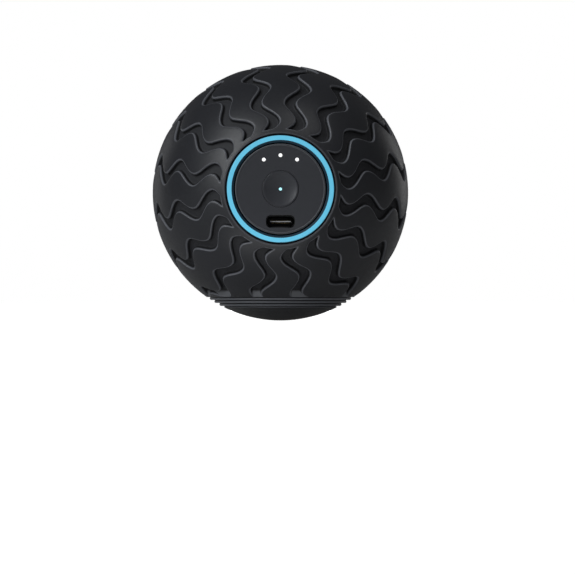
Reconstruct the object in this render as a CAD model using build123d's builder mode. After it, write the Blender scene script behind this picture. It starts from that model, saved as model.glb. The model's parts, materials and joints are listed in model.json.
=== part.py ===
"""Vibrating massage ball: a rigid two-piece core with a motor, battery and control
panel inside, wearing a thick silicone sleeve, and standing on a ribbed base cap.

Millimetres. The origin is the lowest point of the ball, +Z is up, and the control
panel faces -Y.
"""

from build123d import *
import os
from math import cos, radians, sin, sqrt

os.makedirs("parts", exist_ok=True)

# ---------------------------------------------------------------- driving dimensions
BALL_RADIUS = 42.5
SLEEVE_WALL = 5.0
SHELL_WALL = 2.2
SLIP = 0.05  # gap between pieces that lie against each other
THREAD_SLIP = 0.02  # gap round a screw in the hole that it threads into

PANEL_OPENING = 17.72  # radius of the sleeve's round opening
LIP_RADIUS = 0.8
RING_OUTER = 17.38
RING_INNER = 15.74  # inner edge of the ring's lit face
RING_BORE = 15.0  # the ring slopes inward from its face to this bore
PLATE_RADIUS = 14.58
PLATE_THICKNESS = 1.6
RIM_RADIUS = 13.95  # the plate's fine raised rim slopes up from here
RIM_HEIGHT = 0.18
BUTTON_HOLE = 5.96
BUTTON_CLEARANCE = 0.10
BUTTON_TRAVEL = 0.4
DISH_RADIUS = 5.33
DISH_DEPTH = 1.0
POWER_LIGHT_RADIUS = 0.47
LIGHT_RADIUS = 0.6
LIGHT_CIRCLE = 10.85
LIGHT_ANGLES = (60.5, 90.0, 119.5)
PORT_WIDTH = 9.31
PORT_HEIGHT = 4.08
PORT_DROP = 10.43  # the port's centre below the panel's centre

BASE_PLANE = 7.84  # height where the sleeve ends and the ribbed base cap starts
RIB_PITCH = 1.0
RIB_RADII = ((23.8, 23.3), (22.2, 21.8), (20.6, 20.1), (18.9, 18.66))  # top, bottom

MOTOR_RADIUS = 10.0
MOTOR_LENGTH = 26.0
SHAFT_RADIUS = 1.0
SHAFT_LENGTH = 47.0
WEIGHT_RADIUS = 9.0
WEIGHT_THICKNESS = 7.0
CELL_RADIUS = 8.25
CELL_LENGTH = 34.0
CELL_OFFSET = 15.84  # each cell's axis behind, and above or below, the motor's axis

# ------------------------------------------------------------------- derived sizes
SLEEVE_BORE = BALL_RADIUS - SLEEVE_WALL
CORE_RADIUS = SLEEVE_BORE - SLIP
CAVITY_RADIUS = CORE_RADIUS - SHELL_WALL

# Levels along the panel's axis, measured outward from the ball's centre.
RING_FACE = 38.75
PLATE_FACE = 38.3
PLATE_BACK = PLATE_FACE - PLATE_THICKNESS
COLLAR_TOP = 36.1
BOARD_BACK = 27.0
BOARD_FACE = 28.2
PORT_MOUTH = 36.2
CHASSIS_BACK = 14.0
CHASSIS_FACE = 16.0
COLLAR_FOOT = 31.3
LUG_BACK = 26.4
LUG_FACE = 27.9

COLLAR_RADIUS = PANEL_OPENING - 0.15
COLLAR_BORE = 16.05
HOUSING_RADIUS = COLLAR_BORE - SLIP
BOARD_RADIUS = 14.7
RING_MOUNT_RADIUS = MOTOR_RADIUS + 1.0  # outside of the motor's rubber rings

# ---------------------------------------------------------------- reference planes
ball = Plane.XY.offset(BALL_RADIUS)
front = Plane(origin=(0, 0, BALL_RADIUS), x_dir=(1, 0, 0), z_dir=(0, -1, 0))
rear = Plane(origin=(0, 0, BALL_RADIUS), x_dir=(1, 0, 0), z_dir=(0, 1, 0))
axle = Plane(origin=(0, 0, BALL_RADIUS), x_dir=(0, 1, 0), z_dir=(1, 0, 0))

# ---------------------------------------------------------------- screw positions
SHELL_SCREWS = [(25, 13), (-25, 13), (25, -13), (-25, -13)]
CHASSIS_SCREWS = [(17, 17), (-17, 17), (17, -17), (-17, -17)]
PANEL_SCREWS = [(19.0 * cos(radians(a)), 19.0 * sin(radians(a))) for a in (90, 210, 330)]
BOARD_SCREWS = [(12.0 * cos(radians(a)), 12.0 * sin(radians(a))) for a in (20, 160, 220, 320)]
BASE_SCREWS = [(6.5, 6.5), (-6.5, 6.5), (6.5, -6.5), (-6.5, -6.5)]
CLAMP_SIDES = (-9.0, 9.0)
CLAMP_SCREWS = [(x, z) for x in CLAMP_SIDES for z in (-16.0, 16.0)]
CRADLE_SCREWS = [(x, 0.0) for x in CLAMP_SIDES]
SMALL_SCREW = 1.0  # shank radius of the M2 screws
SHELL_SCREW = 1.2  # shank radius of the shells' closing screws
CLEARANCE = 0.1  # gap round a screw in the hole that it passes through

pieces = {}


# ------------------------------------------------------------------------- helpers
def posts(plane, places, radius, height, mode=Mode.ADD):
    """Round posts that rise from a plane, or round holes with Mode.SUBTRACT."""
    with BuildSketch(plane) as outline:
        with Locations(*places):
            Circle(radius)
    extrude(outline.sketch, amount=height, mode=mode)


def tube(plane, outer, inner, height):
    """A round tube that rises from a plane."""
    with BuildSketch(plane) as outline:
        Circle(outer)
        Circle(inner, mode=Mode.SUBTRACT)
    extrude(outline.sketch, amount=height)


def blocks(plane, places, width, depth, height, mode=Mode.ADD):
    """Rectangular blocks that rise from a plane, or pockets with Mode.SUBTRACT."""
    with BuildSketch(plane) as outline:
        with Locations(*places):
            Rectangle(width, depth)
    extrude(outline.sketch, amount=height, mode=mode)


def screws(plane, places, shank, length, head, head_height):
    """Pan-head screws with a hexagon socket; the plane is the heads' seat."""
    posts(plane, places, head, -head_height)
    posts(plane, places, shank, length)
    with BuildSketch(plane.offset(-head_height)) as socket:
        with Locations(*places):
            RegularPolygon(head * 0.5, 6)
    extrude(socket.sketch, amount=head_height * 0.6, mode=Mode.SUBTRACT)


def on_sphere(radius, out):
    """A point of the XZ profile on a sphere about the ball's centre, low side."""
    return (out, BALL_RADIUS - sqrt(radius**2 - out**2))


def dome_arc(radius, start, end):
    """The low arc of a sphere about the ball's centre between two distances out."""
    return ThreePointArc(
        on_sphere(radius, start), on_sphere(radius, (start + end) / 2), on_sphere(radius, end)
    )


# ---------------------------------------------------------------- sleeve and base
with BuildPart(front) as silicone_sleeve:
    Sphere(BALL_RADIUS)
    Sphere(SLEEVE_BORE, mode=Mode.SUBTRACT)
    posts(front, [(0, 0)], PANEL_OPENING, BALL_RADIUS, Mode.SUBTRACT)
    split(bisect_by=Plane.XY.offset(BASE_PLANE), keep=Keep.TOP)
    fillet(silicone_sleeve.edges().filter_by(GeomType.CIRCLE).sort_by(Axis.Y)[0], LIP_RADIUS)
pieces["silicone_sleeve"] = silicone_sleeve

INSERT_REACH = 13.0
INSERT_WALL = 2.0
INSERT_BOSS = 2.2
with BuildPart() as base_insert:
    with BuildSketch(Plane.XZ):
        with BuildLine():
            inside = dome_arc(SLEEVE_BORE, 0, INSERT_REACH)
            outside = dome_arc(SLEEVE_BORE + INSERT_WALL, 0, INSERT_REACH)
            Line(inside @ 0, outside @ 0)
            Line(inside @ 1, outside @ 1)
        make_face()
    revolve(axis=Axis.Z)
    posts(Plane.XY.offset(2.6), BASE_SCREWS, INSERT_BOSS, 2.4)
    posts(Plane.XY.offset(3.4), BASE_SCREWS, SMALL_SCREW + THREAD_SLIP, 6, Mode.SUBTRACT)
pieces["base_insert"] = base_insert

with BuildPart() as base_cap:
    with BuildSketch(Plane.XZ):
        with BuildLine():
            cap_top = BASE_PLANE - SLIP
            top_reach = sqrt(SLEEVE_BORE**2 - (BALL_RADIUS - cap_top) ** 2)
            dome = dome_arc(BALL_RADIUS, 0, RIB_RADII[-1][1])
            corners = [dome @ 1]
            for level, (upper, lower) in reversed(list(enumerate(RIB_RADII))):
                rib_top = BASE_PLANE - level * RIB_PITCH
                rib_bottom = rib_top - RIB_PITCH
                if level < len(RIB_RADII) - 1:
                    corners.append((lower, rib_bottom))
                corners.append((upper, cap_top if level == 0 else rib_top))
            Polyline(*corners, (top_reach, cap_top))
            bowl = dome_arc(SLEEVE_BORE, 0, top_reach)
            Line(bowl @ 0, dome @ 0)
        make_face()
    revolve(axis=Axis.Z)
    with BuildSketch(Plane.XZ):
        with BuildLine():
            pocket_inside = dome_arc(SLEEVE_BORE - SLIP, 0, INSERT_REACH + SLIP)
            pocket_outside = dome_arc(SLEEVE_BORE + INSERT_WALL + SLIP, 0, INSERT_REACH + SLIP)
            Line(pocket_inside @ 0, pocket_outside @ 0)
            Line(pocket_inside @ 1, pocket_outside @ 1)
        make_face()
    revolve(axis=Axis.Z, mode=Mode.SUBTRACT)
    posts(Plane.XY.offset(2.6 - SLIP), BASE_SCREWS, INSERT_BOSS + SLIP, 4, Mode.SUBTRACT)
pieces["base_cap"] = base_cap

# -------------------------------------------------------------------- core shells
CLOSING_BOSS = 3.0
CHASSIS_BOSS = 2.8
PANEL_BOSS = 2.2
BASE_BOSS = 3.0
BASE_BOSS_FOOT = 5.5
BASE_BOSS_TOP = 9.5  # height of the flat top of the bosses for the base's screws
BASE_HOLE_FOOT = 4.0  # the base screws' holes start in the open, under the shell
FRONT_BASE_SCREWS = [place for place in BASE_SCREWS if place[1] < 0]
REAR_BASE_SCREWS = [place for place in BASE_SCREWS if place[1] > 0]
GASKET_CIRCLE = (CORE_RADIUS + CAVITY_RADIUS) / 2
GASKET_RADIUS = 0.4

with BuildPart(front) as front_shell:
    Sphere(CORE_RADIUS)
    Sphere(CAVITY_RADIUS, mode=Mode.SUBTRACT)
    posts(front, SHELL_SCREWS, CLOSING_BOSS, 26)
    posts(front.offset(CHASSIS_FACE + SLIP), CHASSIS_SCREWS, CHASSIS_BOSS, 14)
    posts(front.offset(LUG_FACE + SLIP), PANEL_SCREWS, PANEL_BOSS, 3)
    posts(Plane.XY.offset(BASE_BOSS_FOOT), FRONT_BASE_SCREWS, BASE_BOSS, BASE_BOSS_TOP - BASE_BOSS_FOOT)
    Sphere(CORE_RADIUS, mode=Mode.INTERSECT)
    split(bisect_by=front.offset(SLIP / 2), keep=Keep.TOP)
    posts(front.offset(COLLAR_FOOT), [(0, 0)], COLLAR_RADIUS, COLLAR_TOP - COLLAR_FOOT)
    posts(front.offset(25), [(0, 0)], COLLAR_BORE, 20, Mode.SUBTRACT)
    posts(front, SHELL_SCREWS, SHELL_SCREW + THREAD_SLIP, 9, Mode.SUBTRACT)
    posts(front.offset(CHASSIS_FACE), CHASSIS_SCREWS, SMALL_SCREW + THREAD_SLIP, 7, Mode.SUBTRACT)
    posts(front.offset(LUG_FACE), PANEL_SCREWS, SMALL_SCREW + THREAD_SLIP, 2.3, Mode.SUBTRACT)
    posts(Plane.XY.offset(BASE_HOLE_FOOT), FRONT_BASE_SCREWS, SMALL_SCREW + CLEARANCE, 8, Mode.SUBTRACT)
    Torus(GASKET_CIRCLE, GASKET_RADIUS + 0.03, mode=Mode.SUBTRACT)
pieces["front_shell"] = front_shell

HEAD_SEAT = 14.0  # seat of the closing screws' heads, behind the ball's centre
HEAD_BORE = 2.5
with BuildPart(rear) as rear_shell:
    Sphere(CORE_RADIUS)
    Sphere(CAVITY_RADIUS, mode=Mode.SUBTRACT)
    posts(rear, SHELL_SCREWS, CLOSING_BOSS + 0.6, 30)
    posts(Plane.XY.offset(BASE_BOSS_FOOT), REAR_BASE_SCREWS, BASE_BOSS, BASE_BOSS_TOP - BASE_BOSS_FOOT)
    Sphere(CORE_RADIUS, mode=Mode.INTERSECT)
    split(bisect_by=rear.offset(SLIP / 2), keep=Keep.TOP)
    posts(rear, SHELL_SCREWS, SHELL_SCREW + CLEARANCE, HEAD_SEAT, Mode.SUBTRACT)
    posts(rear.offset(HEAD_SEAT), SHELL_SCREWS, HEAD_BORE, 20, Mode.SUBTRACT)
    posts(Plane.XY.offset(BASE_HOLE_FOOT), REAR_BASE_SCREWS, SMALL_SCREW + CLEARANCE, 8, Mode.SUBTRACT)
    Torus(GASKET_CIRCLE, GASKET_RADIUS + 0.03, mode=Mode.SUBTRACT)
pieces["rear_shell"] = rear_shell

with BuildPart(front) as shell_gasket:
    Torus(GASKET_CIRCLE, GASKET_RADIUS)
pieces["shell_gasket"] = shell_gasket

with BuildPart() as shell_screws:
    screws(rear.offset(HEAD_SEAT).rotated((180, 0, 0)), [(x, -z) for x, z in SHELL_SCREWS],
           SHELL_SCREW, HEAD_SEAT + 8, 2.2, 1.6)
pieces["shell_screws"] = shell_screws

with BuildPart() as base_screws:
    screws(Plane.XY.offset(BASE_BOSS_TOP).rotated((180, 0, 0)), [(x, -y) for x, y in BASE_SCREWS],
           SMALL_SCREW, BASE_BOSS_TOP - 3.6, 1.9, 1.3)
pieces["base_screws"] = base_screws

# ------------------------------------------------------------------ control panel
LEDGE_BACK = 35.1
LEDGE_INNER = 12.7
SEAL_GROOVE_FACE = 34.0
SEAL_GROOVE_BACK = 32.9
LUG_RADIUS = 2.3
with BuildPart() as panel_housing:
    tube(front.offset(LUG_BACK), HOUSING_RADIUS, BOARD_RADIUS + 0.2, LEDGE_BACK - LUG_BACK)
    tube(front.offset(LEDGE_BACK), HOUSING_RADIUS, LEDGE_INNER, COLLAR_TOP - LEDGE_BACK)
    tube(front.offset(COLLAR_TOP), PLATE_RADIUS - 0.3, LEDGE_INNER, PLATE_BACK - SLIP - COLLAR_TOP)
    posts(front.offset(BOARD_FACE + SLIP), BOARD_SCREWS, 1.7, LEDGE_BACK - BOARD_FACE)
    posts(front.offset(BOARD_FACE), BOARD_SCREWS, SMALL_SCREW + THREAD_SLIP, 5, Mode.SUBTRACT)
    with BuildSketch(front.offset(LUG_BACK)):
        with Locations(*PANEL_SCREWS):
            Circle(LUG_RADIUS)
        with Locations(*[(0.9 * x, 0.9 * y) for x, y in PANEL_SCREWS]):
            Circle(LUG_RADIUS)
        Circle(HOUSING_RADIUS - 0.3, mode=Mode.SUBTRACT)
    extrude(amount=LUG_FACE - LUG_BACK)
    posts(front.offset(LUG_BACK), PANEL_SCREWS, SMALL_SCREW + CLEARANCE, 3, Mode.SUBTRACT)
    with BuildSketch(front.offset(SEAL_GROOVE_BACK)):
        Circle(HOUSING_RADIUS + 1)
        Circle(HOUSING_RADIUS - 0.8, mode=Mode.SUBTRACT)
    extrude(amount=SEAL_GROOVE_FACE - SEAL_GROOVE_BACK, mode=Mode.SUBTRACT)
pieces["panel_housing"] = panel_housing

with BuildPart(front.offset((SEAL_GROOVE_BACK + SEAL_GROOVE_FACE) / 2)) as panel_seal:
    Torus(COLLAR_BORE - 0.43, 0.38)
pieces["panel_seal"] = panel_seal

with BuildPart() as panel_screws:
    screws(front.offset(LUG_BACK), PANEL_SCREWS, SMALL_SCREW, 3.6, 1.9, 1.3)
pieces["panel_screws"] = panel_screws

with BuildPart() as trim_ring:
    tube(front.offset(COLLAR_TOP + SLIP), RING_OUTER, RING_BORE, RING_FACE - COLLAR_TOP - SLIP)
    rims = trim_ring.faces().sort_by(Axis.Y)[0].edges().sort_by(Edge.length)
    chamfer(rims[0], RING_INNER - RING_BORE)
    fillet(rims[1], 0.45)
pieces["trim_ring"] = trim_ring

with BuildPart() as face_plate:
    posts(front.offset(PLATE_BACK), [(0, 0)], PLATE_RADIUS, PLATE_THICKNESS + RIM_HEIGHT)
    chamfer(face_plate.faces().sort_by(Axis.Y)[0].edges(), 0.3)
    with BuildSketch(front.offset(PLATE_FACE)):
        Circle(RIM_RADIUS)
    extrude(amount=RIM_HEIGHT, taper=-45, mode=Mode.SUBTRACT)
    posts(front.offset(PLATE_BACK), [(0, 0)], BUTTON_HOLE, PLATE_THICKNESS, Mode.SUBTRACT)
    light_places = [
        (LIGHT_CIRCLE * cos(radians(a)), LIGHT_CIRCLE * sin(radians(a))) for a in LIGHT_ANGLES
    ]
    posts(front.offset(PLATE_BACK), light_places, LIGHT_RADIUS, PLATE_THICKNESS, Mode.SUBTRACT)
    with BuildSketch(front.offset(PLATE_BACK)):
        with Locations((0, -PORT_DROP)):
            RectangleRounded(PORT_WIDTH, PORT_HEIGHT, 1.5)
    extrude(amount=PLATE_THICKNESS, mode=Mode.SUBTRACT)
pieces["face_plate"] = face_plate

BUTTON_RADIUS = BUTTON_HOLE - BUTTON_CLEARANCE
BUTTON_BACK = PLATE_BACK - 0.65
FLANGE_FACE = PLATE_BACK - 0.15
DISH_SPHERE = (DISH_RADIUS**2 + DISH_DEPTH**2) / (2 * DISH_DEPTH)
GUIDE_DISC = PLATE_FACE - 1.6
with BuildPart(front.offset(PLATE_FACE - DISH_DEPTH + DISH_SPHERE)) as power_button:
    posts(front.offset(BUTTON_BACK), [(0, 0)], BUTTON_RADIUS, PLATE_FACE - BUTTON_BACK)
    posts(front.offset(BUTTON_BACK), [(0, 0)], BUTTON_RADIUS + 1.1, FLANGE_FACE - BUTTON_BACK)
    Sphere(DISH_SPHERE, mode=Mode.SUBTRACT)
    face_edges = power_button.edges().filter_by(GeomType.CIRCLE).group_by(Axis.Y)[0]
    fillet(face_edges, 0.2)
    posts(front.offset(BUTTON_BACK), [(0, 0)], 3.1, GUIDE_DISC + SLIP - BUTTON_BACK, Mode.SUBTRACT)
    posts(front.offset(BUTTON_BACK), [(0, 0)], POWER_LIGHT_RADIUS + 0.03, 5, Mode.SUBTRACT)
pieces["power_button"] = power_button

PLUNGER_FACE = 31.0
GUIDE_DISC_BACK = GUIDE_DISC - 0.9
with BuildPart() as button_light_guide:
    posts(front.offset(PLUNGER_FACE), [(0, 0)], 1.4, GUIDE_DISC_BACK - PLUNGER_FACE)
    posts(front.offset(GUIDE_DISC_BACK), [(0, 0)], 3.05, GUIDE_DISC - GUIDE_DISC_BACK)
    posts(front.offset(GUIDE_DISC), [(0, 0)], POWER_LIGHT_RADIUS, PLATE_FACE - DISH_DEPTH - GUIDE_DISC)
pieces["button_light_guide"] = button_light_guide

with BuildPart() as indicator_light_guide:
    for light in light_places:
        posts(front.offset(29.2), [light], LIGHT_RADIUS - 0.02, PLATE_FACE - 29.2)
    with BuildSketch(front.offset(33.6)):
        with BuildLine():
            low_arc = CenterArc((0, 0), LIGHT_CIRCLE - 1.0, 56, 68)
            high_arc = CenterArc((0, 0), LIGHT_CIRCLE + 1.0, 56, 68)
            Line(low_arc @ 0, high_arc @ 0)
            Line(low_arc @ 1, high_arc @ 1)
        make_face()
    extrude(amount=1.2)
pieces["indicator_light_guide"] = indicator_light_guide

with BuildPart() as indicator_leds:
    blocks(front.offset(BOARD_FACE), light_places, 1.6, 0.8, 0.7)
pieces["indicator_leds"] = indicator_leds

with BuildPart() as power_leds:
    blocks(front.offset(BOARD_FACE), [(4.6, 0), (-4.6, 0)], 0.8, 1.6, 0.7)
pieces["power_leds"] = power_leds

# ------------------------------------------------------------------ charging port
PORT_PLACE = [(0, -PORT_DROP)]
with BuildPart() as usb_receptacle_shell:
    with BuildSketch(front.offset(BOARD_FACE)):
        with Locations(*PORT_PLACE):
            SlotOverall(8.94, 3.26)
    extrude(amount=PORT_MOUTH - BOARD_FACE)
    with BuildSketch(front.offset(BOARD_FACE)):
        with Locations(*PORT_PLACE):
            SlotOverall(8.34, 2.66)
    extrude(amount=PORT_MOUTH - BOARD_FACE, mode=Mode.SUBTRACT)
pieces["usb_receptacle_shell"] = usb_receptacle_shell

TONGUE_TIP = PORT_MOUTH - 0.7
with BuildPart() as usb_insulator:
    with BuildSketch(front.offset(BOARD_FACE)):
        with Locations(*PORT_PLACE):
            SlotOverall(8.30, 2.62)
    extrude(amount=1.6)
    blocks(front.offset(BOARD_FACE + 1.6), PORT_PLACE, 6.69, 0.7, TONGUE_TIP - BOARD_FACE - 1.6)
pieces["usb_insulator"] = usb_insulator

with BuildPart() as usb_contacts:
    contact_places = [
        (-2.75 + 0.5 * i, -PORT_DROP + side * 0.4) for side in (-1, 1) for i in range(12)
    ]
    blocks(front.offset(BOARD_FACE + 1.65), contact_places, 0.25, 0.08, 4.0)
pieces["usb_contacts"] = usb_contacts

with BuildPart() as port_gasket:
    with BuildSketch(front.offset(PLATE_BACK - 1.2)):
        with Locations(*PORT_PLACE):
            SlotOverall(11.2, 5.2)
            SlotOverall(9.04, 3.36, mode=Mode.SUBTRACT)
        Circle(BUTTON_HOLE + 1.4, mode=Mode.SUBTRACT)
        with BuildSketch(mode=Mode.INTERSECT):
            Circle(LEDGE_INNER - 0.2)
    extrude(amount=1.15)
pieces["port_gasket"] = port_gasket

# ------------------------------------------------------------------ control board
with BuildPart() as control_board:
    posts(front.offset(BOARD_BACK), [(0, 0)], BOARD_RADIUS, BOARD_FACE - SLIP - BOARD_BACK)
    posts(front.offset(BOARD_BACK), BOARD_SCREWS, SMALL_SCREW + CLEARANCE, 2, Mode.SUBTRACT)
pieces["control_board"] = control_board

with BuildPart() as board_screws:
    screws(front.offset(BOARD_BACK), BOARD_SCREWS, SMALL_SCREW, 5, 1.8, 1.2)
pieces["board_screws"] = board_screws

with BuildPart() as board_components:
    blocks(front.offset(BOARD_BACK), [(-2, 1)], 5.0, 5.0, -0.9)
    blocks(front.offset(BOARD_BACK), [(5, -1)], 4.0, 4.0, -2.2)
    blocks(front.offset(BOARD_BACK), [(-7, -3.5), (-7, -5.5), (3, 6), (5, 6)], 1.6, 0.8, -0.7)
    blocks(front.offset(BOARD_FACE), [(-8, 3), (-8, 1), (8, 3), (8, 1)], 1.6, 0.8, 0.6)
pieces["board_components"] = board_components

BATTERY_PLUG = (7.0, 8.5)
MOTOR_PLUG = (-7.0, 8.5)
with BuildPart() as board_connectors:
    blocks(front.offset(BOARD_BACK), [BATTERY_PLUG, MOTOR_PLUG], 5.0, 3.6, -3.4)
pieces["board_connectors"] = board_connectors

SWITCH_FLOOR = BOARD_FACE + 0.2
PLUNGER_RADIUS = 1.0
PLUNGER_BACK = SWITCH_FLOOR + 0.1 + BUTTON_TRAVEL  # the pressed plunger stays off the floor
with BuildPart() as tact_switch_body:
    blocks(front.offset(BOARD_FACE), [(0, 0)], 6.0, 6.0, 2.0)
    posts(front.offset(SWITCH_FLOOR), [(0, 0)], PLUNGER_RADIUS + 0.08, 5, Mode.SUBTRACT)
    fillet(tact_switch_body.edges().filter_by(Axis.Y).group_by(Edge.length)[-1], 0.4)
pieces["tact_switch_body"] = tact_switch_body

with BuildPart() as tact_switch_plunger:
    posts(front.offset(PLUNGER_BACK), [(0, 0)], PLUNGER_RADIUS, PLUNGER_FACE - PLUNGER_BACK)
pieces["tact_switch_plunger"] = tact_switch_plunger

# -------------------------------------------------------------- chassis and clamps
SADDLE_WIDTH = 5.0
with BuildPart() as chassis:
    with BuildSketch(front.offset(CHASSIS_BACK)):
        RectangleRounded(40, 40, 4)
        Circle(6, mode=Mode.SUBTRACT)
        with Locations((-13.4, 0)):
            SlotOverall(16, 3.4, rotation=90, mode=Mode.SUBTRACT)
        with Locations((19.4, 7)):
            RectangleRounded(7, 9, 1, mode=Mode.SUBTRACT)
    extrude(amount=CHASSIS_FACE - CHASSIS_BACK)
    blocks(front.offset(SLIP / 2), [(x, 0) for x in CLAMP_SIDES], SADDLE_WIDTH, 38, CHASSIS_BACK)
    with BuildSketch(axle):
        Circle(RING_MOUNT_RADIUS + SLIP)
    extrude(amount=20, both=True, mode=Mode.SUBTRACT)
    posts(front, CLAMP_SCREWS, SMALL_SCREW + THREAD_SLIP, 6, Mode.SUBTRACT)
    posts(front.offset(CHASSIS_BACK), CHASSIS_SCREWS, SMALL_SCREW + CLEARANCE, 3, Mode.SUBTRACT)
pieces["chassis"] = chassis

with BuildPart() as chassis_screws:
    screws(front.offset(CHASSIS_BACK), CHASSIS_SCREWS, SMALL_SCREW, 8, 1.9, 1.3)
pieces["chassis_screws"] = chassis_screws

CLAMP_OUTER = 13.2
CREST_TOP = 17.0
with BuildPart() as motor_clamps:
    for side in CLAMP_SIDES:
        with BuildSketch(axle.offset(side - SADDLE_WIDTH / 2)):
            Circle(CLAMP_OUTER)
            with Locations((1.25, 0)):
                Rectangle(2.5, 38)
            with Locations((CREST_TOP / 2 + 5, 0)):
                Rectangle(CREST_TOP - 10, 7)
            Circle(RING_MOUNT_RADIUS + SLIP, mode=Mode.SUBTRACT)
            with Locations((-20 + SLIP / 2, 0)):
                Rectangle(40, 60, mode=Mode.SUBTRACT)
        extrude(amount=SADDLE_WIDTH)
    posts(rear, CLAMP_SCREWS, SMALL_SCREW + CLEARANCE, 4, Mode.SUBTRACT)
    posts(rear.offset(13.4), CRADLE_SCREWS, SMALL_SCREW + THREAD_SLIP, 6, Mode.SUBTRACT)
pieces["motor_clamps"] = motor_clamps

with BuildPart() as clamp_screws:
    screws(rear.offset(2.5).rotated((180, 0, 0)), [(x, -z) for x, z in CLAMP_SCREWS],
           SMALL_SCREW, 8, 1.8, 1.2)
pieces["clamp_screws"] = clamp_screws

with BuildPart() as motor_mount_rings:
    for side in CLAMP_SIDES:
        tube(axle.offset(side - SADDLE_WIDTH / 2), RING_MOUNT_RADIUS, MOTOR_RADIUS + 0.02, SADDLE_WIDTH)
pieces["motor_mount_rings"] = motor_mount_rings

# --------------------------------------------------------------------------- motor
CAN_WALL = 0.8
CAN_END = MOTOR_LENGTH / 2
CAN_BORE = MOTOR_RADIUS - CAN_WALL
BUSHING_RADIUS = 2.2
BUSHING_LENGTH = 2.4
with BuildPart() as motor_can:
    posts(axle.offset(-CAN_END + 2), [(0, 0)], MOTOR_RADIUS, MOTOR_LENGTH - 2)
    posts(axle.offset(CAN_END), [(0, 0)], 3.2, 1.2)
    posts(axle.offset(-CAN_END), [(0, 0)], CAN_BORE, MOTOR_LENGTH - 1, Mode.SUBTRACT)
    posts(axle, [(0, 0)], BUSHING_RADIUS + 0.02, 20, Mode.SUBTRACT)
pieces["motor_can"] = motor_can

with BuildPart() as motor_end_cap:
    posts(axle.offset(-CAN_END), [(0, 0)], MOTOR_RADIUS, 2 - SLIP)
    posts(axle.offset(-CAN_END + 1.5), [(0, 0)], CAN_BORE - SLIP, 2)
    posts(axle.offset(-CAN_END - 1.2), [(0, 0)], 3.2, 3)
    posts(axle.offset(-20), [(0, 0)], BUSHING_RADIUS + 0.02, 20, Mode.SUBTRACT)
    blocks(front, [(-12.3, 4), (-12.3, -4)], 0.66, 1.66, 20, Mode.SUBTRACT)
pieces["motor_end_cap"] = motor_end_cap

with BuildPart() as motor_terminals:
    blocks(front.offset(5), [(-12.3, 4), (-12.3, -4)], 0.6, 1.6, 6.5)
pieces["motor_terminals"] = motor_terminals

with BuildPart() as motor_bushings:
    tube(axle.offset(CAN_END + 1.2 - BUSHING_LENGTH), BUSHING_RADIUS, SHAFT_RADIUS + 0.03, BUSHING_LENGTH)
    tube(axle.offset(-CAN_END - 1.2), BUSHING_RADIUS, SHAFT_RADIUS + 0.03, BUSHING_LENGTH)
pieces["motor_bushings"] = motor_bushings

MAGNET_INNER = 7.4
with BuildPart() as motor_magnets:
    with BuildSketch(axle.offset(-4)):
        Circle(CAN_BORE - SLIP)
        Circle(MAGNET_INNER, mode=Mode.SUBTRACT)
        Rectangle(40, 7, mode=Mode.SUBTRACT)
    extrude(amount=14)
pieces["motor_magnets"] = motor_magnets

ARMATURE_RADIUS = 6.9
ARMATURE_LENGTH = 11.0
with BuildPart() as motor_armature:
    with BuildSketch(axle.offset(-2.5)):
        Circle(ARMATURE_RADIUS)
        Circle(5.7, mode=Mode.SUBTRACT)
        with PolarLocations(0, 3, start_angle=60):
            with Locations((6, 0)):
                Rectangle(4, 1.4, mode=Mode.SUBTRACT)
        Circle(2.6)
        with PolarLocations(0, 3):
            with Locations((4, 0)):
                Rectangle(4.4, 1.8)
        Circle(SHAFT_RADIUS + 0.01, mode=Mode.SUBTRACT)
    extrude(amount=ARMATURE_LENGTH)
pieces["motor_armature"] = motor_armature

with BuildPart() as motor_windings:
    with BuildSketch(axle.offset(-3.2)):
        with PolarLocations(0, 3):
            with Locations((3.9, 0)):
                Rectangle(2.3, 4.0)
                Rectangle(2.3, 2.0, mode=Mode.SUBTRACT)
    extrude(amount=ARMATURE_LENGTH + 1.4)
pieces["motor_windings"] = motor_windings

with BuildPart() as motor_commutator:
    tube(axle.offset(-9), 2.3, SHAFT_RADIUS + 0.01, 5.0)
    with BuildSketch(axle.offset(-9)):
        with PolarLocations(0, 3, start_angle=60):
            with Locations((2.3, 0)):
                Rectangle(0.8, 0.3)
    extrude(amount=5.0, mode=Mode.SUBTRACT)
pieces["motor_commutator"] = motor_commutator

with BuildPart() as motor_brushes:
    blocks(axle.offset(-8), [(3.6, 0), (-3.6, 0)], 2.2, 1.4, 3.0)
pieces["motor_brushes"] = motor_brushes

with BuildPart() as motor_shaft:
    posts(axle.offset(-SHAFT_LENGTH / 2), [(0, 0)], SHAFT_RADIUS, SHAFT_LENGTH)
pieces["motor_shaft"] = motor_shaft

WEIGHT_START = 15.2
for side, name in ((1, "eccentric_weight_right"), (-1, "eccentric_weight_left")):
    start = WEIGHT_START if side > 0 else -WEIGHT_START - WEIGHT_THICKNESS
    with BuildPart() as weight:
        with BuildSketch(axle.offset(start)):
            Circle(WEIGHT_RADIUS)
            with Locations((0, WEIGHT_RADIUS / 2 + 0.8)):
                Rectangle(2 * WEIGHT_RADIUS + 1, WEIGHT_RADIUS, mode=Mode.SUBTRACT)
            Circle(3.4)
            Circle(SHAFT_RADIUS + 0.01, mode=Mode.SUBTRACT)
        extrude(amount=WEIGHT_THICKNESS)
        posts(ball, [(start + WEIGHT_THICKNESS / 2, 0)], 0.77, 6, Mode.SUBTRACT)
    pieces[name] = weight

with BuildPart() as weight_set_screws:
    middle = WEIGHT_START + WEIGHT_THICKNESS / 2
    posts(ball.offset(SHAFT_RADIUS + 0.03), [(middle, 0), (-middle, 0)], 0.75, 2.6)
pieces["weight_set_screws"] = weight_set_screws

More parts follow.
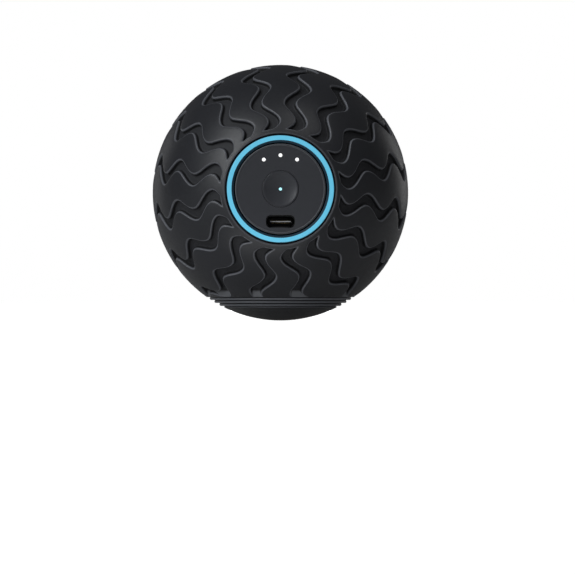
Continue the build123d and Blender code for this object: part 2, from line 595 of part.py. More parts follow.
# ------------------------------------------------------------------------- battery
for side, name in ((1, "battery_cell_upper"), (-1, "battery_cell_lower")):
    with BuildPart() as cell:
        place = [(CELL_OFFSET, side * CELL_OFFSET)]
        posts(axle.offset(-CELL_LENGTH / 2), place, CELL_RADIUS, CELL_LENGTH - 0.8)
        fillet(cell.edges().filter_by(GeomType.CIRCLE), 0.6)
        posts(axle.offset(CELL_LENGTH / 2 - 2), place, 2.6, 2.0)
    pieces[name] = cell

CRADLE_FOOT = CREST_TOP + SLIP
CRADLE_BACK = 27.4
CRADLE_TROUGH = CELL_RADIUS + 0.65
with BuildPart() as battery_cradle:
    blocks(rear.offset(CRADLE_FOOT), [(0, 0)], 26, 28, CRADLE_BACK - CRADLE_FOOT)
    for side in (-1, 1):
        with BuildSketch(axle):
            with Locations((CELL_OFFSET, side * CELL_OFFSET)):
                Circle(CRADLE_TROUGH)
        extrude(amount=20, both=True, mode=Mode.SUBTRACT)
    posts(rear.offset(CRADLE_FOOT), CRADLE_SCREWS, SMALL_SCREW + CLEARANCE, 12, Mode.SUBTRACT)
    posts(rear.offset(20), CRADLE_SCREWS, 2.2, 12, Mode.SUBTRACT)
pieces["battery_cradle"] = battery_cradle

with BuildPart() as cradle_screws:
    screws(rear.offset(20).rotated((180, 0, 0)), [(x, -z) for x, z in CRADLE_SCREWS],
           SMALL_SCREW, 6, 1.9, 1.3)
pieces["cradle_screws"] = cradle_screws

with BuildPart() as battery_pads:
    for start in (-12.5, 5.0):
        for side in (-1, 1):
            with BuildSketch(axle.offset(start)):
                with Locations((CELL_OFFSET, side * CELL_OFFSET)):
                    Circle(CRADLE_TROUGH - 0.05)
                    Circle(CELL_RADIUS + 0.05, mode=Mode.SUBTRACT)
                with BuildSketch(mode=Mode.INTERSECT):
                    with Locations((22.2, side * 7)):
                        Rectangle(9, 13.4)
            extrude(amount=7.5)
pieces["battery_pads"] = battery_pads

with BuildPart() as battery_straps:
    for side in (-1, 1):
        with BuildSketch(axle.offset(-3)):
            with Locations((CELL_OFFSET, side * CELL_OFFSET)):
                Circle(CELL_RADIUS + 0.5)
                Circle(CELL_RADIUS + 0.03, mode=Mode.SUBTRACT)
        extrude(amount=6)
pieces["battery_straps"] = battery_straps

with BuildPart() as protection_board:
    blocks(rear.offset(CRADLE_BACK + SLIP), [(0, 0)], 26, 12, 1.0)
pieces["protection_board"] = protection_board

with BuildPart() as protection_components:
    blocks(rear.offset(CRADLE_BACK + SLIP + 1.0), [(-7, 2), (-2.5, 2)], 3.0, 3.0, 0.9)
    blocks(rear.offset(CRADLE_BACK + SLIP + 1.0), [(-7, -3), (-4, -3), (-1, -3), (2, -3)], 1.6, 0.8, 0.6)
    blocks(rear.offset(CRADLE_BACK + SLIP + 1.0), [(10.6, 2.6), (10.6, -2.6)], 2.4, 2.4, 0.3)
pieces["protection_components"] = protection_components

# --------------------------------------------------------------------------- wires
WIRE_RADIUS = 0.55


def wire(points, bend):
    """A round wire along straight runs joined by tangent bends.

    Each point is (right, ahead of the centre, above the centre).
    """
    corners = [(x, -ahead, BALL_RADIUS + up) for x, ahead, up in points]
    with BuildLine() as route:
        FilletPolyline(*corners, radius=bend)
    line = route.wires()[0]
    with BuildSketch(Plane(origin=line @ 0, z_dir=line % 0)) as section:
        Circle(WIRE_RADIUS)
    sweep(section.sketch, path=line)


with BuildPart() as battery_wires:
    for side in (-1, 1):
        wire([(10.0, -29.35, 2.6 * side), (14.6, -29.35, 2.8 * side),
              (19.2, -20, 12.6 + 0.9 * side), (19.4, -6, 12.8 + 0.8 * side),
              (18.4, 17, 7.5 + 0.8 * side), (7, 19.5, 8.5 + side),
              (7, 23.5, 8.5 + side)], 1.8)
pieces["battery_wires"] = battery_wires

with BuildPart() as motor_wires:
    for side in (-1, 1):
        wire([(-12.3, 11.6, 4 * side), (-13.4, 16.8, 3.6 * side),
              (-7 - 1.2 * side, 20.4, 8.3), (-7 - 1.2 * side, 23.5, 8.5)], 1.3)
pieces["motor_wires"] = motor_wires

# ------------------------------------------------------------------- write the files
for name, piece in pieces.items():
    piece.part.label = name
    export_step(piece.part, f"parts/{name}.step")
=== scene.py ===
"""Looks of the vibrating massage ball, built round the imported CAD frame.

Lengths are metres and angles are degrees unless a name says otherwise. The ball's panel
faces -Y, and the ball stands on the floor at the origin.
"""

import json
import math

import bmesh
import bpy
import numpy as np
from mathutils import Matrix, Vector


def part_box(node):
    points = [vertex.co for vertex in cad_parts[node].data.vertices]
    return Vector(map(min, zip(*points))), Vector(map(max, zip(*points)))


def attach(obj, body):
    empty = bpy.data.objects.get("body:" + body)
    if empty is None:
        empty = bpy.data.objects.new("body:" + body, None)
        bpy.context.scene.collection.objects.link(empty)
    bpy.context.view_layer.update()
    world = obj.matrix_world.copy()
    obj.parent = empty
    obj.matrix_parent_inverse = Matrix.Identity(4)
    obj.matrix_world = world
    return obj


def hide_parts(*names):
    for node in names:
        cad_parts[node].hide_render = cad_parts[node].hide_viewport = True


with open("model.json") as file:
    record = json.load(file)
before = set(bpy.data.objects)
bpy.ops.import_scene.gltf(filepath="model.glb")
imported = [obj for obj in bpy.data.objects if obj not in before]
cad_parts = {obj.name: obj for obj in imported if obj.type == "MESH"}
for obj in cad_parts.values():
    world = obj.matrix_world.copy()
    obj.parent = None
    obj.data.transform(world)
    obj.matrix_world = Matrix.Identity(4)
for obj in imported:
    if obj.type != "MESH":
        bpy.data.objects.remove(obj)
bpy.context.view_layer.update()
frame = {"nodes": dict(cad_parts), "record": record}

MM = 0.001

# ------------------------------------------------------------- sizes from the frame
sleeve_low, sleeve_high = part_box("silicone_sleeve")
cap_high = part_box("base_cap")[1]
ring_low, ring_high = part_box("trim_ring")
core_low, core_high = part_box("rear_shell")

BALL_RADIUS = (sleeve_high[0] - sleeve_low[0]) / 2
CENTRE_HEIGHT = sleeve_high[2] - BALL_RADIUS
SLEEVE_BORE = (core_high[0] - core_low[0]) / 2 + 0.05 * MM
BASE_PLANE = sleeve_low[2]
SLEEVE_FOOT = cap_high[2]  # the soft sleeve rests on the base with no gap
RING_RADIUS = (ring_high[0] - ring_low[0]) / 2
PANEL_OPENING = RING_RADIUS + 0.34 * MM

# ----------------------------------------------------------------- ribs on the base
RIB_PITCH = 1.0 * MM
RIB_RADII = [(0.0238, 0.0233), (0.0222, 0.0218), (0.0206, 0.0201), (0.0189, 0.01866)]
# One rib from its foot up: distance in from its face, share of its height, and share of its
# crest, where the base's painted highlight goes.
RIB_SECTION = [
    (0.24 * MM, 0.00, 0.2), (0.08 * MM, 0.06, 0.8), (0.00 * MM, 0.20, 1.0), (0.00 * MM, 0.42, 1.0),
    (0.06 * MM, 0.58, 0.8), (0.16 * MM, 0.68, 0.0), (0.28 * MM, 0.76, 0.0), (0.30 * MM, 1.00, 0.0),
]

# ------------------------------------------------------------ groove pattern (sleeve)
GROOVES = 16
LANE = 360 / GROOVES
# Crests of one groove's wave: angle from the panel's axis, and turn about that axis.
WAVE_CRESTS = [
    (20.8, 24.0), (31.6, 5.2), (42.1, 16.0), (53.3, 8.7), (63.7, 16.5), (75.0, 7.5),
    (86.0, 16.0), (97.0, 7.8), (108.0, 16.2), (119.0, 8.0), (130.0, 16.4), (141.0, 6.8),
    (152.0, 18.0),
]
FRONT_COLLAR = 26.7  # the grooves start here
BACK_COLLAR = 152.5  # and end here
GROOVE_DEPTH = 1.6 * MM
RAMP_HEIGHT = 1.5 * MM  # the grooves run out on a ramp above the base
# Half of the groove's section: distance from its centre line, and share of its depth.
SECTION = [
    (0.00, 0.97), (0.55, 1.00), (1.10, 1.00), (1.34, 0.97), (1.48, 0.88), (1.56, 0.75),
    (1.66, 0.52), (1.76, 0.29), (1.86, 0.15), (1.98, 0.06), (2.14, 0.014), (2.34, 0.00),
]
SECTION_OFFSETS = np.array([offset for offset, share in SECTION]) * MM
SECTION_SHARES = np.array([share for offset, share in SECTION])
LAND_COLUMNS = 5
SAME_POINT = 0.002 * MM  # profile points nearer than this are one point
LIP_HIGHLIGHT = 0.010  # share of a groove's shoulder tone laid on the opening's lip, a painted highlight round it


# ---------------------------------------------------------------------- mesh helpers
def new_object(name, mesh):
    piece = bpy.data.objects.new(name, mesh)
    bpy.context.scene.collection.objects.link(piece)
    return piece


def mark_edges(mesh, sharp_angle):
    """Smooth shading, with edges sharper than the angle kept crisp."""
    work = bmesh.new()
    work.from_mesh(mesh)
    for face in work.faces:
        face.smooth = True
    for edge in work.edges:
        if len(edge.link_faces) == 2:
            edge.smooth = edge.calc_face_angle() < math.radians(sharp_angle)
    work.to_mesh(mesh)
    work.free()


def groove_share(offset):
    """Share of the groove's full depth at a distance from its centre line."""
    return np.interp(np.abs(offset), SECTION_OFFSETS, SECTION_SHARES)


def wave_turn(angle):
    """Turn of the groove's centre line at an angle from the panel's axis."""
    for (near, low), (far, high) in zip(WAVE_CRESTS, WAVE_CRESTS[1:]):
        if near <= angle <= far:
            swing = (1 - math.cos(math.pi * (angle - near) / (far - near))) / 2
            return low + (high - low) * swing
    return WAVE_CRESTS[-1][1]


def on_ball(angle, turn, radius):
    """Points at an angle from the panel's axis and a turn about it, right to up."""
    reach = radius * np.ones_like(turn)
    out = math.sin(angle) * reach
    ahead = math.cos(angle) * reach
    return np.stack(
        [out * np.cos(turn), -ahead, CENTRE_HEIGHT + out * np.sin(turn)], axis=-1
    )


def sleeve_rows():
    """Angles of the sleeve's rows from its opening to the back pole."""
    opening = math.degrees(math.asin(PANEL_OPENING / BALL_RADIUS))
    fine = 0.22
    rows = list(np.arange(opening + 1.15, FRONT_COLLAR - 0.1, 0.5))
    rows += list(np.arange(FRONT_COLLAR - 0.1, FRONT_COLLAR + 2.3, fine))
    rows += list(np.arange(FRONT_COLLAR + 2.3, BACK_COLLAR - 2.3, 0.75))
    rows += list(np.arange(BACK_COLLAR - 2.3, BACK_COLLAR + 0.2, fine))
    rows += list(np.arange(BACK_COLLAR + 1, 179.6, 2.2))
    return opening, rows


def sleeve_surface():
    """Outer skin of the sleeve: rows of points, with groove depth as a share."""
    offsets = SECTION_OFFSETS[1:]
    across = np.concatenate([-offsets[::-1], [0.0], offsets])
    opening, rows = sleeve_rows()
    points, shares, ramps = [], [], []
    for row in rows:
        angle = math.radians(row)
        girth = BALL_RADIUS * math.sin(angle)
        half = min(math.degrees(offsets[-1] / girth), LANE * 0.42)
        groove_turns = across / offsets[-1] * half
        land_turns = np.linspace(half, LANE - half, LAND_COLUMNS + 2)[1:-1]
        turns = np.concatenate([groove_turns, land_turns])
        distance = np.concatenate([across, np.full(LAND_COLUMNS, 1.0)])
        section = groove_share(distance)
        front = 1 - groove_share((row - FRONT_COLLAR) * math.pi / 180 * BALL_RADIUS + 0.95 * MM)
        front = front if row > FRONT_COLLAR else 0.0
        back = 1 - groove_share((BACK_COLLAR - row) * math.pi / 180 * BALL_RADIUS + 0.95 * MM)
        back = back if row < BACK_COLLAR else 0.0
        share = section * front * back
        lane_turns = wave_turn(row) + turns
        all_turns = np.concatenate([lane_turns + LANE * lane for lane in range(GROOVES)])
        all_shares = np.tile(share, GROOVES)
        skin = on_ball(angle, np.radians(all_turns), BALL_RADIUS)
        height = np.clip((skin[:, 2] - BASE_PLANE) / RAMP_HEIGHT, 0, 1)
        # share of the run-out ramp, which places a painted highlight there
        ramps.append(np.clip(all_shares - height, 0, 1))
        all_shares = np.minimum(all_shares, height)
        depth = all_shares * GROOVE_DEPTH
        points.append(on_ball(angle, np.radians(all_turns), BALL_RADIUS - depth))
        shares.append(all_shares)
    return opening, rows, points, shares, ramps


def build_sleeve():
    """The hollow silicone sleeve: grooved outside, plain inside, open at the panel."""
    opening, rows, points, shares, ramps = sleeve_surface()
    count = points[0].shape[0]
    first_turns = np.arctan2(points[0][:, 2] - CENTRE_HEIGHT, points[0][:, 0])

    # The rounded lip, the wall of the opening and the plain inside.
    lip = 0.8 * MM
    lip_rows = []
    start = math.radians(rows[0])
    rim = (BALL_RADIUS * math.sin(start), BALL_RADIUS * math.cos(start))
    wall_top = BALL_RADIUS * math.cos(math.radians(opening)) - lip
    corner = (PANEL_OPENING, BALL_RADIUS * math.cos(math.radians(opening)))
    for step in np.linspace(0, 1, 7)[1:]:
        a = (1 - step) ** 2
        b = 2 * step * (1 - step)
        c = step**2
        out = a * rim[0] + b * corner[0] + c * PANEL_OPENING
        ahead = a * rim[1] + b * corner[1] + c * wall_top
        lip_rows.append((out, ahead))
    inner_opening = math.asin(PANEL_OPENING / SLEEVE_BORE)
    lip_rows.append((PANEL_OPENING, SLEEVE_BORE * math.cos(inner_opening)))
    inside = [
        (SLEEVE_BORE * math.sin(a), SLEEVE_BORE * math.cos(a))
        for a in np.linspace(inner_opening, math.radians(179), 26)[1:]
    ]
    rings = []
    for out, ahead in reversed(lip_rows + inside):
        ring = np.stack(
            [out * np.cos(first_turns), np.full(count, -ahead), CENTRE_HEIGHT + out * np.sin(first_turns)],
            axis=-1,
        )
        # the lip's first rows get the painted highlight
        lip_highlight = LIP_HIGHLIGHT if (out, ahead) in lip_rows[:4] else 0.0
        rings.append((ring, np.full(count, lip_highlight), np.zeros(count)))
    rings += list(zip(points, shares, ramps))
    verts = [(0.0, SLEEVE_BORE, CENTRE_HEIGHT)]
    share_values, ramp_values = [0.0], [0.0]
    for ring, ring_shares, ring_ramps in rings:
        verts.extend(map(tuple, ring))
        share_values.extend(ring_shares)
        ramp_values.extend(ring_ramps)
    verts.append((0.0, BALL_RADIUS, CENTRE_HEIGHT))
    share_values.append(0.0)
    ramp_values.append(0.0)
    faces = []
    for column in range(count):
        beside = (column + 1) % count
        faces.append((0, 1 + beside, 1 + column))
        for row in range(len(rings) - 1):
            low, high = 1 + row * count, 1 + (row + 1) * count
            faces.append((low + column, low + beside, high + beside, high + column))
        last = 1 + (len(rings) - 1) * count
        faces.append((last + column, last + beside, len(verts) - 1))
    mesh = bpy.data.meshes.new("sleeve_skin")
    mesh.from_pydata(verts, [], faces)
    for layer_name, values in (("groove", share_values), ("ramp", ramp_values)):
        layer = mesh.attributes.new(layer_name, "FLOAT", "POINT")
        layer.data.foreach_set("value", np.array(values, dtype=np.float32))

    # The sleeve ends in a flat ring on the base.
    work = bmesh.new()
    work.from_mesh(mesh)
    everything = work.verts[:] + work.edges[:] + work.faces[:]
    bmesh.ops.bisect_plane(
        work, geom=everything, plane_co=(0, 0, SLEEVE_FOOT), plane_no=(0, 0, -1),
        clear_outer=True, dist=1e-7,
    )
    rim_edges = [edge for edge in work.edges if edge.is_boundary]
    bmesh.ops.triangle_fill(work, edges=rim_edges, use_beauty=True, normal=(0, 0, -1))
    bmesh.ops.recalc_face_normals(work, faces=work.faces[:])
    work.to_mesh(mesh)
    work.free()
    mark_edges(mesh, 50)
    return new_object("sleeve", mesh)


def turned(name, profile, segments=240):
    """A closed body of revolution about Z, from (out, up, crest share) profile points."""
    turns = [2 * math.pi * step / segments for step in range(segments)]
    verts, rings, crests = [], [], []
    outline = profile[:1]
    for point in profile[1:]:
        if math.dist(point[:2], outline[-1][:2]) > SAME_POINT:
            outline.append(point)
    for out, up, crest in outline:
        if out < 1e-7:
            rings.append([len(verts)] * segments)
            verts.append((0, 0, up))
            crests.append(crest)
        else:
            rings.append([len(verts) + step for step in range(segments)])
            verts.extend((out * math.cos(turn), out * math.sin(turn), up) for turn in turns)
            crests.extend([crest] * segments)
    faces = []
    for low, high in zip(rings, rings[1:]):
        for step in range(segments):
            beside = (step + 1) % segments
            corners = (low[step], low[beside], high[beside], high[step])
            faces.append(tuple(dict.fromkeys(corners)))
    mesh = bpy.data.meshes.new(name + "_mesh")
    mesh.from_pydata(verts, [], faces)
    layer = mesh.attributes.new("crest", "FLOAT", "POINT")
    layer.data.foreach_set("value", np.array(crests, dtype=np.float32))
    work = bmesh.new()
    work.from_mesh(mesh)
    bmesh.ops.recalc_face_normals(work, faces=work.faces[:])
    work.to_mesh(mesh)
    work.free()
    mark_edges(mesh, 40)
    return new_object(name, mesh)


def low_sphere(radius, start, end, steps):
    """Profile points on the underside of a sphere about the ball's centre."""
    outs = np.linspace(start, end, steps)
    return [(out, CENTRE_HEIGHT - math.sqrt(radius**2 - out**2), 0.0) for out in outs]


def build_base():
    """The base cap: a dome below, beaded ribs above, and a bowl that fits the core."""
    bowl_radius = SLEEVE_BORE + 0.05 * MM
    bowl_reach = math.sqrt(bowl_radius**2 - (CENTRE_HEIGHT - cap_high[2]) ** 2)
    profile = low_sphere(BALL_RADIUS, 0, RIB_RADII[-1][1], 28)
    dome_top = profile[-1][1]
    for level, (upper, lower) in reversed(list(enumerate(RIB_RADII))):
        top = min(BASE_PLANE - level * RIB_PITCH, cap_high[2])
        foot = max(BASE_PLANE - (level + 1) * RIB_PITCH, dome_top)
        for out, up, crest in RIB_SECTION:
            profile.append((lower + (upper - lower) * up - out, foot + (top - foot) * up, crest))
    profile += [(bowl_reach, cap_high[2], 0.0)]
    profile += reversed(low_sphere(bowl_radius, 0, bowl_reach, 20))
    return turned("base", profile)


# ---------------------------------------------------------------------- materials
def socket(shader, name, value):
    shader.inputs[name].default_value = value


def node_material(name):
    material = bpy.data.materials.new(name)
    material.use_nodes = True
    nodes = material.node_tree.nodes
    return material, nodes, material.node_tree.links, nodes["Principled BSDF"]


def noise(nodes, links, scale, detail=4.0, roughness=0.5):
    """A noise texture in object space; the scale is features per metre."""
    place = nodes.new("ShaderNodeTexCoord")
    texture = nodes.new("ShaderNodeTexNoise")
    texture.inputs["Scale"].default_value = scale
    texture.inputs["Detail"].default_value = detail
    texture.inputs["Roughness"].default_value = roughness
    links.new(place.outputs["Object"], texture.inputs["Vector"])
    return texture


def ramp(nodes, links, source, stops):
    """A colour ramp over a value, from (place, (red, green, blue)) stops."""
    band = nodes.new("ShaderNodeValToRGB")
    elements = band.color_ramp.elements
    while len(elements) < len(stops):
        elements.new(0.5)
    for element, (place, colour) in zip(elements, stops):
        element.position = place
        element.color = (*colour, 1)
    links.new(source, band.inputs["Fac"])
    return band


def spread(nodes, links, source, low, high):
    """The source's 0.3 to 0.7 stretched over a range."""
    stretch = nodes.new("ShaderNodeMapRange")
    stretch.inputs["From Min"].default_value = 0.3
    stretch.inputs["From Max"].default_value = 0.7
    stretch.inputs["To Min"].default_value = low
    stretch.inputs["To Max"].default_value = high
    links.new(source, stretch.inputs["Value"])
    return stretch


def bump(nodes, links, shader, height, depth, strength=1.0):
    relief = nodes.new("ShaderNodeBump")
    relief.inputs["Strength"].default_value = strength
    relief.inputs["Distance"].default_value = depth
    links.new(height, relief.inputs["Height"])
    links.new(relief.outputs["Normal"], shader.inputs["Normal"])


def grained(name, dark, light, roughness, grain=900.0, depth=0.02 * MM, metal=0.0, **extra):
    """A moulded or cast finish: mottled colour, uneven gloss and a fine grain."""
    material, nodes, links, shader = node_material(name)
    mottle = noise(nodes, links, 60.0)
    tone = ramp(nodes, links, mottle.outputs["Fac"], [(0.3, dark), (0.7, light)])
    links.new(tone.outputs["Color"], shader.inputs["Base Color"])
    fine = noise(nodes, links, grain, 3.0)
    gloss = spread(nodes, links, fine.outputs["Fac"], roughness - 0.05, roughness + 0.05)
    links.new(gloss.outputs["Result"], shader.inputs["Roughness"])
    bump(nodes, links, shader, fine.outputs["Fac"], depth)
    socket(shader, "Metallic", metal)
    for key, value in extra.items():
        socket(shader, key.replace("_", " "), value)
    return material


def blend_tone(nodes, links, under, over, factor):
    """One colour laid over another where the factor is one."""
    mix = nodes.new("ShaderNodeMix")
    mix.data_type = "RGBA"
    mix.inputs["B"].default_value = (*over, 1)
    links.new(factor, mix.inputs["Factor"])
    links.new(under, mix.inputs["A"])
    return mix.outputs["Result"]


def attribute(nodes, name):
    share = nodes.new("ShaderNodeAttribute")
    share.attribute_name = name
    return share.outputs["Fac"]


BLACK, WHITE = (0, 0, 0), (1, 1, 1)


def silicone(name, dark, light, layers, gloss_range):
    """Moulded silicone: mottled, lightly grained, with painted highlights and painted shade laid on by its
    mesh's attributes.
    """
    material, nodes, links, shader = node_material(name)
    mottle = noise(nodes, links, 70.0, 5.0)
    colour = ramp(nodes, links, mottle.outputs["Fac"], [(0.3, dark), (0.7, light)]).outputs["Color"]
    for layer, over, stops in layers:
        mask = ramp(nodes, links, attribute(nodes, layer), stops)
        colour = blend_tone(nodes, links, colour, over, mask.outputs["Color"])
    links.new(colour, shader.inputs["Base Color"])
    fine = noise(nodes, links, 1600.0, 3.0)
    gloss = spread(nodes, links, fine.outputs["Fac"], *gloss_range)
    dulled = nodes.new("ShaderNodeMath")
    dulled.operation = "MULTIPLY_ADD"
    dulled.inputs[1].default_value = 0.28
    links.new(attribute(nodes, "groove"), dulled.inputs[0])
    links.new(gloss.outputs["Result"], dulled.inputs[2])
    links.new(dulled.outputs["Value"], shader.inputs["Roughness"])
    bump(nodes, links, shader, fine.outputs["Fac"], 0.012 * MM)
    return material


def lit_material(name, colour, glow, strength, roughness=0.35):
    """A translucent light guide that glows evenly, with a faintly cloudy body."""
    material, nodes, links, shader = node_material(name)
    cloud = noise(nodes, links, 400.0, 2.0)
    body = ramp(nodes, links, cloud.outputs["Fac"], [(0.3, tuple(0.96 * c for c in colour)), (0.7, colour)])
    links.new(body.outputs["Color"], shader.inputs["Base Color"])
    socket(shader, "Emission Color", (*glow, 1))
    socket(shader, "Emission Strength", strength)
    socket(shader, "Roughness", roughness)
    return material


def ring_material():
    """The trim ring, painted with light: its flat face glows as if lit, and its sloped and side faces get
    painted shade in deep blue.
    """
    material, nodes, links, shader = node_material("ring_blue")
    place = nodes.new("ShaderNodeTexCoord")
    axes = nodes.new("ShaderNodeSeparateXYZ")
    links.new(place.outputs["Normal"], axes.inputs["Vector"])
    facing = nodes.new("ShaderNodeMath")
    facing.operation = "MULTIPLY"
    facing.inputs[1].default_value = -1.0
    links.new(axes.outputs["Y"], facing.inputs[0])
    deep, lit = (0.003, 0.011, 0.018), (0.057, 0.290, 0.412)
    unlit = (0.001, 0.004, 0.007)
    # painted light: the glow is set by how far each face turns toward the front
    glow = ramp(nodes, links, facing.outputs["Value"], [(0.0, unlit), (0.74, deep), (0.9, lit)])
    links.new(glow.outputs["Color"], shader.inputs["Emission Color"])
    socket(shader, "Emission Strength", 1.0)
    cloud = noise(nodes, links, 300.0, 2.0)
    body = ramp(nodes, links, cloud.outputs["Fac"], [(0.3, (0.10, 0.36, 0.52)), (0.7, (0.12, 0.40, 0.56))])
    # painted shade darkens the sloped and side faces
    slope_painted_shade = ramp(nodes, links, facing.outputs["Value"], [(0.74, (0.01, 0.03, 0.045)), (0.9, WHITE)])
    tone = nodes.new("ShaderNodeMix")
    tone.data_type = "RGBA"
    tone.blend_type = "MULTIPLY"
    tone.inputs["Factor"].default_value = 1.0
    links.new(body.outputs["Color"], tone.inputs["A"])
    links.new(slope_painted_shade.outputs["Color"], tone.inputs["B"])
    links.new(tone.outputs["Result"], shader.inputs["Base Color"])
    socket(shader, "Roughness", 0.5)
    return material


def brushed(name, dark, light, roughness, along=(1, 1, 1), metal=1.0):
    """Drawn or turned metal: fine streaks that run along the axis with a low scale."""
    material, nodes, links, shader = node_material(name)
    place = nodes.new("ShaderNodeTexCoord")
    stretch = nodes.new("ShaderNodeMapping")
    stretch.inputs["Scale"].default_value = along
    streaks = nodes.new("ShaderNodeTexNoise")
    streaks.inputs["Scale"].default_value = 1200.0
    streaks.inputs["Detail"].default_value = 4.0
    links.new(place.outputs["Object"], stretch.inputs["Vector"])
    links.new(stretch.outputs["Vector"], streaks.inputs["Vector"])
    tone = ramp(nodes, links, streaks.outputs["Fac"], [(0.3, dark), (0.7, light)])
    links.new(tone.outputs["Color"], shader.inputs["Base Color"])
    gloss = spread(nodes, links, streaks.outputs["Fac"], roughness - 0.08, roughness + 0.08)
    links.new(gloss.outputs["Result"], shader.inputs["Roughness"])
    bump(nodes, links, shader, streaks.outputs["Fac"], 0.006 * MM)
    socket(shader, "Metallic", metal)
    return material


def banded(name, dark, light, roughness, scale, axis, depth, metal=0.0):
    """Wound wire or woven tape: even bands across an axis, with uneven colour."""
    material, nodes, links, shader = node_material(name)
    place = nodes.new("ShaderNodeTexCoord")
    bands = nodes.new("ShaderNodeTexWave")
    bands.bands_direction = axis
    bands.inputs["Scale"].default_value = scale
    bands.inputs["Distortion"].default_value = 1.5
    bands.inputs["Detail"].default_value = 2.0
    links.new(place.outputs["Object"], bands.inputs["Vector"])
    tone = ramp(nodes, links, bands.outputs["Fac"], [(0.1, dark), (0.9, light)])
    links.new(tone.outputs["Color"], shader.inputs["Base Color"])
    fine = noise(nodes, links, 900.0)
    gloss = spread(nodes, links, fine.outputs["Fac"], roughness - 0.06, roughness + 0.06)
    links.new(gloss.outputs["Result"], shader.inputs["Roughness"])
    bump(nodes, links, shader, bands.outputs["Fac"], depth)
    socket(shader, "Metallic", metal)
    return material


def board_material():
    """Green solder mask over copper tracks, which show as faint raised cells."""
    material, nodes, links, shader = node_material("circuit_board")
    place = nodes.new("ShaderNodeTexCoord")
    tracks = nodes.new("ShaderNodeTexBrick")
    tracks.inputs["Scale"].default_value = 420.0
    tracks.inputs["Mortar Size"].default_value = 0.03
    tracks.inputs["Color1"].default_value = (0.006, 0.055, 0.030, 1)
    tracks.inputs["Color2"].default_value = (0.005, 0.047, 0.026, 1)
    tracks.inputs["Mortar"].default_value = (0.012, 0.105, 0.055, 1)
    links.new(place.outputs["Object"], tracks.inputs["Vector"])
    links.new(tracks.outputs["Color"], shader.inputs["Base Color"])
    fine = noise(nodes, links, 1500.0)
    gloss = spread(nodes, links, fine.outputs["Fac"], 0.26, 0.36)
    links.new(gloss.outputs["Result"], shader.inputs["Roughness"])
    bump(nodes, links, shader, tracks.outputs["Fac"], 0.01 * MM)
    return material


def near(nodes, links, value, middle, full, none):
    """One where the value is within a distance of the middle, falling to zero."""
    apart = nodes.new("ShaderNodeMath")
    apart.operation = "SUBTRACT"
    apart.inputs[1].default_value = middle
    size = nodes.new("ShaderNodeMath")
    size.operation = "ABSOLUTE"
    fall = nodes.new("ShaderNodeMapRange")
    fall.inputs["From Min"].default_value = none
    fall.inputs["From Max"].default_value = full
    links.new(value, apart.inputs[0])
    links.new(apart.outputs["Value"], size.inputs[0])
    links.new(size.outputs["Value"], fall.inputs["Value"])
    return fall.outputs["Result"]


def tongue_material():
    """The port's tongue: black nylon round a steel plate, whose front edge is painted near-white, partly the
    plate's own steel and partly a painted highlight.
    """
    material, nodes, links, shader = node_material("port_insulator")
    place = nodes.new("ShaderNodeTexCoord")
    axes = nodes.new("ShaderNodeSeparateXYZ")
    links.new(place.outputs["Object"], axes.inputs["Vector"])
    low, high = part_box("usb_insulator")
    middle = (low[2] + high[2]) / 2
    tip = near(nodes, links, axes.outputs["Y"], low[1], 0.03 * MM, 0.12 * MM)
    plate = near(nodes, links, axes.outputs["Z"], middle, 0.07 * MM, 0.17 * MM)
    steel_edge_and_glint = nodes.new("ShaderNodeMath")
    steel_edge_and_glint.operation = "MULTIPLY"
    links.new(tip, steel_edge_and_glint.inputs[0])
    links.new(plate, steel_edge_and_glint.inputs[1])
    fibre = noise(nodes, links, 900.0)
    dark, light = (0.010, 0.010, 0.011), (0.016, 0.016, 0.017)
    nylon = ramp(nodes, links, fibre.outputs["Fac"], [(0.3, dark), (0.7, light)])
    # near-white front edge: the steel plate's edge plus a painted highlight
    edge = blend_tone(nodes, links, nylon.outputs["Color"], (0.90, 0.92, 0.94), steel_edge_and_glint.outputs["Value"])
    links.new(edge, shader.inputs["Base Color"])
    gloss = spread(nodes, links, fibre.outputs["Fac"], 0.4, 0.5)
    links.new(gloss.outputs["Result"], shader.inputs["Roughness"])
    return material


def plate_material():
    """The face plate's moulded plastic, with a painted highlight: a lighter colour on the fine slope of its
    rim.
    """
    material = grained(
        "panel_plastic", (0.0355, 0.0372, 0.0440), (0.0390, 0.0407, 0.0475), 0.42, 2500, 0.006 * MM
    )
    nodes, links = material.node_tree.nodes, material.node_tree.links
    shader = nodes["Principled BSDF"]
    place = nodes.new("ShaderNodeTexCoord")
    axes = nodes.new("ShaderNodeSeparateXYZ")
    links.new(place.outputs["Normal"], axes.inputs["Vector"])
    # painted highlight: lighter colour on faces sloped at about 45 degrees, the rim's inner slope
    rim_highlight_mask = near(nodes, links, axes.outputs["Y"], -0.7, 0.08, 0.2)
    plain = shader.inputs["Base Color"].links[0].from_socket
    rim_painted_highlight = blend_tone(nodes, links, plain, (0.105, 0.111, 0.122), rim_highlight_mask)
    links.new(rim_painted_highlight, shader.inputs["Base Color"])
    return material
